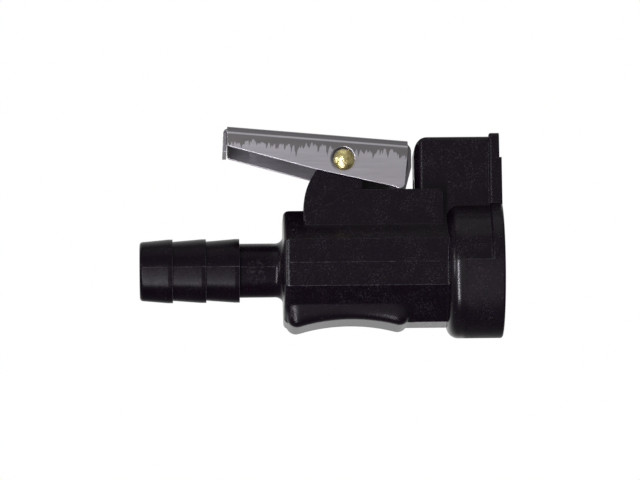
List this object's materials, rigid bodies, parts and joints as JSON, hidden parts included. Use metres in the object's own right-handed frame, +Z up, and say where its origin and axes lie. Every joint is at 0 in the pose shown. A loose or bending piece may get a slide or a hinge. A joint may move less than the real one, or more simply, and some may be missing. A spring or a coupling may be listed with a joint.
{
  "type": "fuel hose quick connector",
  "caption": "Female quick connector for a marine fuel hose: ridged hose barb, keyhole mouth with a check valve, and a sprung latch lever that holds the mating prong.",
  "frame": {"origin": "on the fuel axis, where the fuel socket opens into the recess of the mouth", "axes": "+X out of the mouth, the way the mating connector leaves; +Z up to the latch lever; +Y across"},
  "size_m": [0.0636, 0.0244, 0.0368],
  "materials": {
    "black_plastic": "moulded, semi-matt, faintly grained",
    "stainless": "dull stamped sheet with worn lighter bands",
    "rivet_brass": "bright, hammered over at the top",
    "brass": "turned",
    "rubber": "smooth moulded",
    "acetal": "smooth natural acetal",
    "spring_steel": "drawn wire"
  },
  "bodies": {
    "connector_body": {"body_moulding": "black_plastic", "socket_retainer": "brass", "socket_seal": "rubber", "valve_seat": "brass", "valve_seat_seal": "rubber", "poppet_spring": "spring_steel", "spring_guide": "acetal", "pivot_rivet": "rivet_brass", "lever_spring": "spring_steel"},
    "latch": {"latch_lever": "stainless"},
    "valve": {"poppet": "acetal", "poppet_washer": "rubber"}
  },
  "joints": [
    {"name": "latch_pivot", "type": "hinge", "parent": "connector_body", "child": "latch", "pos_m": [-0.01975, 0, 0.0185], "axis": [0, -1, 0], "range_deg": [0, 13], "stiffness_Nm_per_rad": 0.35, "springref_deg": -14.32, "deforming": ["lever_spring"]},
    {"name": "valve_slide", "type": "slide", "parent": "connector_body", "child": "valve", "axis": [-1, 0, 0], "range_m": [0, 0.0022], "stiffness_N_per_m": 800, "springref_m": -0.004, "deforming": ["poppet_spring"]}
  ]
}
